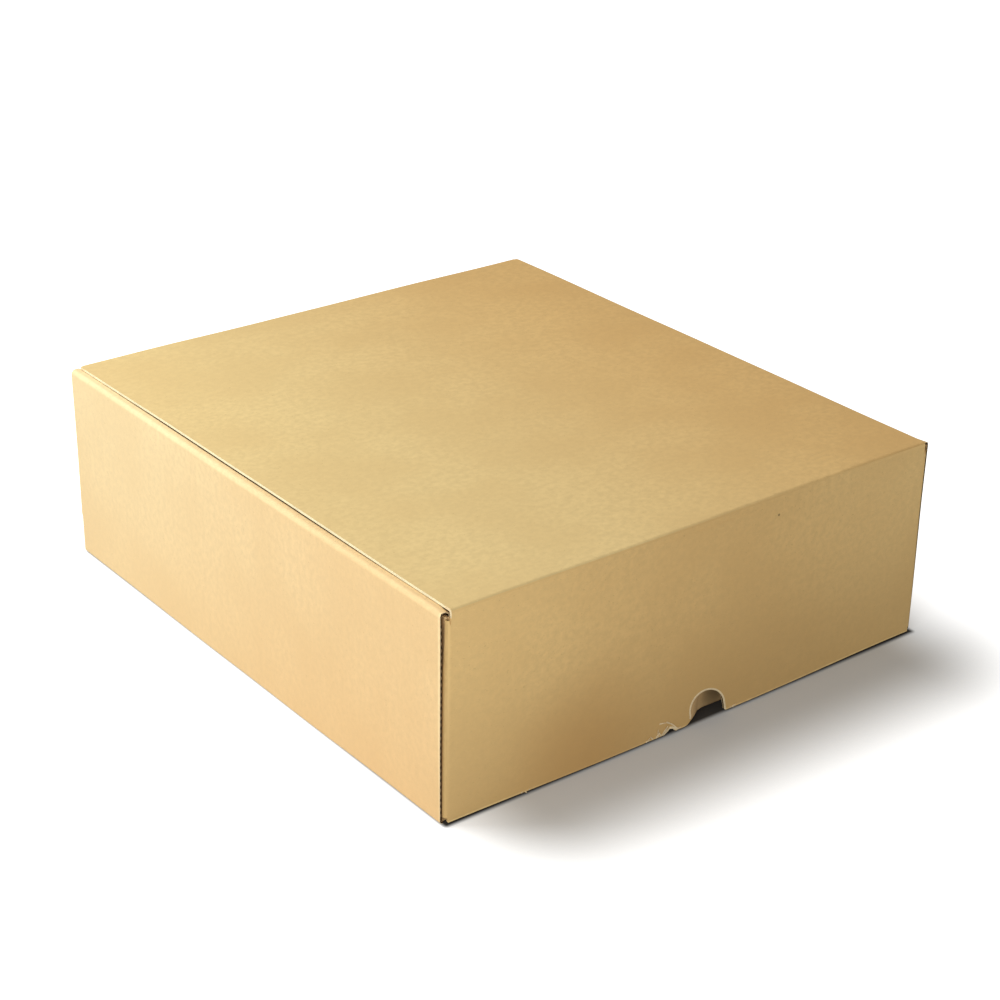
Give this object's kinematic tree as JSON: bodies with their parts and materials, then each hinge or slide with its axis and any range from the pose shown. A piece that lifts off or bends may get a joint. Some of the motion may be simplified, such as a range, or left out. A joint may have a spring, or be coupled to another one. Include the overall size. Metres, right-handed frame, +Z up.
{
  "type": "corrugated mailer gift box",
  "caption": "Flat corrugated kraft mailer box with rolled-over side walls, a hinged lid and an outside front flap with a thumb notch and tuck ears.",
  "frame": {"origin": "on the floor under the middle of the closed box", "axes": "+Z up, front flap faces -Y, +Y towards the rear crease, +X to the right seen from the front"},
  "size_m": [0.3, 0.33, 0.108],
  "materials": {
    "tray_board": "matte uncoated kraft liner over fluted core",
    "lid_board": "matte uncoated kraft liner over fluted core",
    "flap_board": "matte uncoated kraft liner over fluted core"
  },
  "bodies": {
    "tray": {"tray": "tray_board"},
    "lid": {"lid": "lid_board"},
    "front_flap": {"front_flap": "flap_board"}
  },
  "joints": [
    {"name": "lid_hinge", "type": "hinge", "parent": "tray", "child": "lid", "pos_m": [0, 0.16415, 0.10715], "axis": [-1, 0, 0], "range_deg": [0, 175]},
    {"name": "flap_hinge", "type": "hinge", "parent": "lid", "child": "front_flap", "pos_m": [0, -0.16415, 0.10715], "axis": [-1, 0, 0], "range_deg": [0, 120]}
  ]
}
